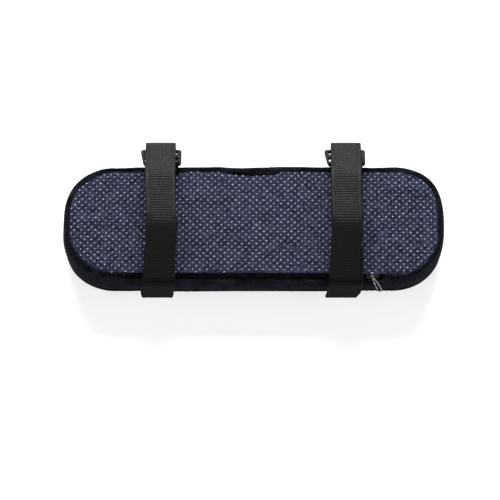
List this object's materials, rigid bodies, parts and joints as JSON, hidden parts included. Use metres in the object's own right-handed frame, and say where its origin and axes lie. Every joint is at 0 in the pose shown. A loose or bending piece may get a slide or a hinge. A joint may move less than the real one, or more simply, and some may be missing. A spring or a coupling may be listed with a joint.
{
  "type": "chair armrest pad",
  "caption": "Long rounded foam cushion that straps onto a chair's armrest: plush top and side band, dotted grip base, zipped cover, adjustable webbing straps with slide buckles.",
  "frame": {"origin": "centre of the grip base, the face that lies on the chair's armrest", "axes": "+X along the pad's length, +Y towards the buckles, -Y towards the zip, +Z out of the grip base, so the plush face points to -Z and the pad is stored lying on it"},
  "size_m": [0.25, 0.105, 0.0475],
  "materials": {
    "foam": "matte memory foam",
    "plush": "short velvet pile",
    "grip_fabric": "woven with raised grip dots",
    "thread": "matte sewing thread",
    "zip_tape": "matte woven tape",
    "zip_coil": "satin nylon",
    "zip_metal": "black lacquer, worn bright at the edges",
    "webbing": "ribbed woven webbing",
    "buckle_plastic": "satin moulded plastic"
  },
  "bodies": {
    "pad": {"foam_core": "foam", "top_panel": "plush", "side_band_left": "plush", "side_band_right": "plush", "grip_base": "grip_fabric", "top_seam_thread": "thread", "base_seam_thread": "thread", "band_seam_threads": "thread", "zip_tape_base": "zip_tape", "zip_tape_band": "zip_tape", "zip_coil_base": "zip_coil", "zip_coil_band": "zip_coil", "zip_closed_stops": "zip_metal", "zip_open_stop": "zip_metal", "strap_left": "webbing", "strap_right": "webbing", "anchor_left": "webbing", "anchor_right": "webbing", "anchor_tacks_left": "thread", "anchor_tacks_right": "thread", "root_stitching_left": "thread", "root_stitching_right": "thread"},
    "slider": {"zip_slider": "zip_metal"},
    "puller": {"zip_puller": "zip_metal"},
    "left_buckle": {"buckle_left": "buckle_plastic", "strap_end_left": "webbing"},
    "right_buckle": {"buckle_right": "buckle_plastic", "strap_end_right": "webbing"}
  },
  "joints": [
    {"name": "zip_slide", "type": "slide", "parent": "pad", "child": "slider", "axis": [-1, 0, 0], "range_m": [0, 0.156]},
    {"name": "puller_swing", "type": "hinge", "parent": "slider", "child": "puller", "pos_m": [0.078, -0.03876, -0.00024], "axis": [-1, 0, 0], "range_deg": [0, 165]},
    {"name": "left_buckle_swing", "type": "hinge", "parent": "pad", "child": "left_buckle", "pos_m": [-0.061, 0.0403, 0.0047], "axis": [1, 0, 0], "range_deg": [-15, 45], "stiffness_Nm_per_rad": 0.004},
    {"name": "right_buckle_swing", "type": "hinge", "parent": "pad", "child": "right_buckle", "pos_m": [0.061, 0.0403, 0.0047], "axis": [1, 0, 0], "range_deg": [-15, 45], "stiffness_Nm_per_rad": 0.004}
  ]
}
